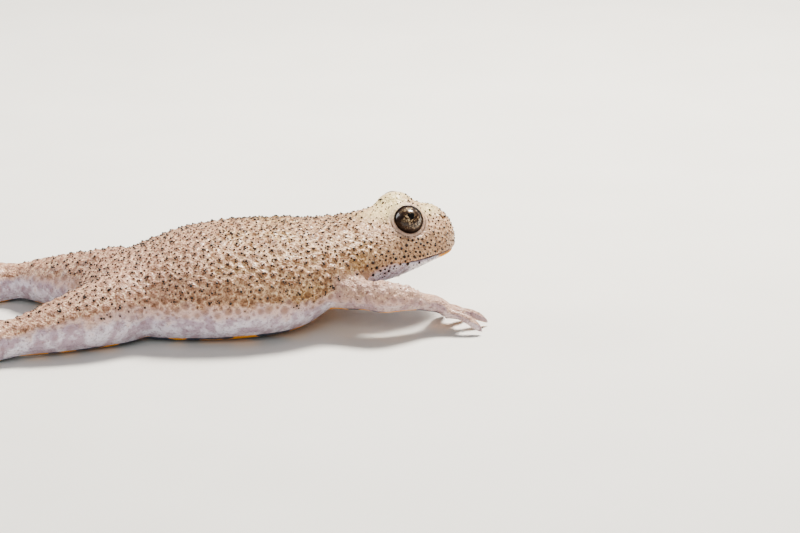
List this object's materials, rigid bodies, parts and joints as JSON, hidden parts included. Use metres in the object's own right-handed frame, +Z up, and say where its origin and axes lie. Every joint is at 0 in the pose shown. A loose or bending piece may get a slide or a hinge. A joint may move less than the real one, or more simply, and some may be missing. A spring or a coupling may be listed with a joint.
{
  "type": "fire bellied toad",
  "caption": "Still, life-size model of a fire-bellied toad stretched out as it floats: flat belly and limbs on one level, head raised, eyes on top, warty back.",
  "frame": {"origin": "on the level that the belly, hands and feet rest on, under the middle of the whole model", "axes": "+X towards the snout, +Y towards the animal's own left, +Z up"},
  "size_m": [0.1068, 0.0392, 0.0155],
  "materials": {
    "back_skin": "damp warty skin, pale brown with small black spines",
    "belly_skin": "smooth damp skin, pale blue-grey edge and yellow-orange belly patches",
    "limb_skin": "damp warty skin, pinkish brown above and paler below",
    "digit_skin": "thin damp skin, paler tips",
    "eye": "glossy wet eye, bronze iris with a dark pupil"
  },
  "bodies": {
    "root": {"trunk": "back_skin", "head": "back_skin", "lower_jaw": "belly_skin", "eye_right": "eye", "eye_left": "eye", "upper_arm_right": "limb_skin", "upper_arm_left": "limb_skin", "forearm_right": "limb_skin", "forearm_left": "limb_skin", "hand_right": "digit_skin", "hand_left": "digit_skin", "thigh_right": "limb_skin", "thigh_left": "limb_skin", "shank_right": "limb_skin", "shank_left": "limb_skin", "heel_right": "limb_skin", "heel_left": "limb_skin", "foot_right": "digit_skin", "foot_left": "digit_skin"}
  },
  "joints": []
}
